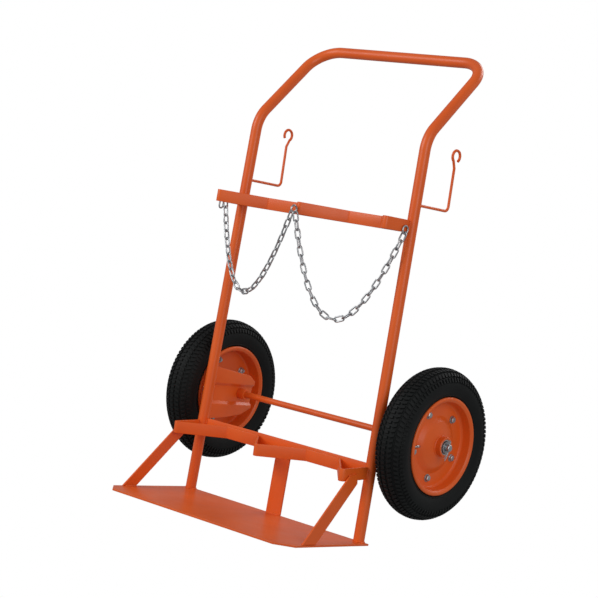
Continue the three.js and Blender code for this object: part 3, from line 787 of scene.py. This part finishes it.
def build_wheel(side):
    name = "left" if side < 0 else "right"
    body = name + "_wheel"
    place = Matrix.Translation(at(side * WHEEL_X, AXLE_Y, AXLE_Z))
    if side < 0:
        place = place @ Matrix.Rotation(math.pi, 4, "Z")
    place = place @ Matrix.Rotation(LEFT_WHEEL_TURN if side < 0 else RIGHT_WHEEL_TURN, 4, "X")
    Shape().add(*turned(tyre_outline(), 144), place).piece(
        name + "_tyre_carcass", "tyre", body, [name + "_tyre"], crease=50)
    lugs = Shape()
    tread(lugs, place)
    lugs.piece(name + "_tyre_tread", "tyre", body)
    for half, line, radii in (("outer", RIM_OUTER, RIM_OUTER_BENDS), ("inner", RIM_INNER, RIM_INNER_BENDS)):
        outline = sheet_outline(fillet(line, radii, 6), RIM_SHEET)
        Shape().add(*turned(outline, 128), place).piece(
            f"{name}_rim_{half}_half", "paint", body, [f"{name}_rim_{half}"])
    seat = BEARING_W + 1.5
    x0, x1 = HUB_ENDS
    bore, shoulder = BEARING_R + 0.2, 14
    hub = [(HUB_R, x0 + 0.8), (HUB_R, x1 - 0.8), (HUB_R - 0.8, x1),
           (bore + 0.7, x1), (bore, x1 - 0.7), (bore, x1 - seat), (shoulder, x1 - seat),
           (shoulder, x0 + seat), (bore, x0 + seat), (bore, x0 + 0.7), (bore + 0.7, x0),
           (HUB_R - 0.8, x0)]
    Shape().add(*turned(hub, 80), place).piece(name + "_hub_sleeve", "paint", body, [name + "_hub"])
    rim_welds = Shape()
    for x in (25.6, WEB_X - 2.6):
        around = [Vector((x, (HUB_R + 0.3) * math.sin(a), (HUB_R + 0.3) * math.cos(a)))
                  for a in (2 * math.pi * k / 90 for k in range(90))]
        rings = []
        for k, point in enumerate(around):
            outward = Vector((0, point.y, point.z)).normalized()
            r = 2.1 * (1 + 0.13 * math.sin(2.2 * k) + 0.2 * noise.noise(Vector((k * 0.2, x, side))))
            rings.append([(point + outward * a + Vector((b, 0, 0))) * MM for a, b in circle(r, 10)])
        rim_welds.add(*loft(rings, closed=True), place)
    rim_welds.piece(name + "_hub_welds", "paint", body)
    for y, z, k in bolt_places():
        spot = place @ Matrix.Translation(Vector((0, y, z)) * MM) @ Matrix.Rotation(0.4 * k, 4, "X")
        rim_bolt(spot, f"{name}_wheel_bolt_{k + 1}", f"{name}_rim_bolt_{k + 1}", body)
    bearing(name, "outer", place, body)
    bearing(name, "inner", place, body)
    valve(name, place, body)
    washer = turned(ring_outline(AXLE_R + FIT, 14, x1 - 0.6, x1 + 2, 0.3), 48)
    Shape().add(*washer, place).piece(name + "_axle_washer", "zinc", "frame", [name + "_washer_outer"])
    spacer = turned(ring_outline(AXLE_R + FIT, 11, x0 - 16, x0 + 0.6, 0.4), 48)
    Shape().add(*spacer, place).piece(name + "_axle_spacer", "zinc", "frame", [name + "_spacer_inner"])
    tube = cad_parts[name + "_inner_tube"]
    tube.data.materials.clear()
    tube.data.materials.append(LOOKS["tube"][1])


build_frame()
weld_beads()
build_chains()
build_wheel(-1)
build_wheel(1)


# ---- Studio ----

def studio():
    """Even light from all round, with a white background behind the cart."""
    world = bpy.data.worlds.new("studio")
    bpy.context.scene.world = world
    world.use_nodes = True
    tree = world.node_tree
    back = tree.nodes["Background"]
    back.inputs["Color"].default_value = (1, 1, 1, 1)
    back.inputs["Strength"].default_value = 0.32
    white = tree.nodes.new("ShaderNodeBackground")
    white.inputs["Color"].default_value = (1, 1, 1, 1)
    white.inputs["Strength"].default_value = 1.0
    path = tree.nodes.new("ShaderNodeLightPath")
    mix = tree.nodes.new("ShaderNodeMixShader")
    tree.links.new(path.outputs["Is Camera Ray"], mix.inputs["Fac"])
    tree.links.new(back.outputs["Background"], mix.inputs[1])
    tree.links.new(white.outputs["Background"], mix.inputs[2])
    tree.links.new(mix.outputs["Shader"], tree.nodes["World Output"].inputs["Surface"])


def softbox(name, place, target, size, power):
    """A rectangular lamp that faces a target."""
    light = bpy.data.lights.new(name, "AREA")
    light.shape = "RECTANGLE"
    light.size, light.size_y = size
    light.energy = power
    lamp = bpy.data.objects.new(name, light)
    lamp.location = place
    lamp.rotation_euler = (Vector(target) - Vector(place)).to_track_quat("-Z", "Y").to_euler()
    bpy.context.scene.collection.objects.link(lamp)


def camera():
    """A long lens from the front right, a little above the wheels and tilted to its right."""
    yaw, pitch, roll = (math.radians(a) for a in (41.13, 1.98, 10.01))
    forward = Vector((-math.sin(yaw) * math.cos(pitch), math.cos(yaw) * math.cos(pitch), -math.sin(pitch)))
    right = Vector((math.cos(yaw), math.sin(yaw), 0))
    up = right.cross(forward)
    right, up = right * math.cos(roll) + up * math.sin(roll), up * math.cos(roll) - right * math.sin(roll)
    lens = bpy.data.cameras.new("photo_camera")
    lens.sensor_width = 36
    lens.lens = 105.65
    lens.clip_end = 60
    view = bpy.data.objects.new("photo_camera", lens)
    turn = Matrix((right, up, -forward)).transposed().to_4x4()
    view.matrix_world = Matrix.Translation((2.658, -3.088, 0.649)) @ turn
    bpy.context.scene.collection.objects.link(view)
    bpy.context.scene.camera = view


studio()
softbox("key", (-1.8, -3.4, 2.3), (0, 0, 0.5), (2.2, 2.2), 86)
softbox("fill", (3.6, -1.6, 1.6), (0, 0, 0.5), (2.0, 2.6), 50)
softbox("rim_light", (0.4, 3.2, 2.8), (0, 0, 0.6), (3.0, 1.6), 45)
camera()
bpy.context.scene.view_settings.view_transform = "Standard"
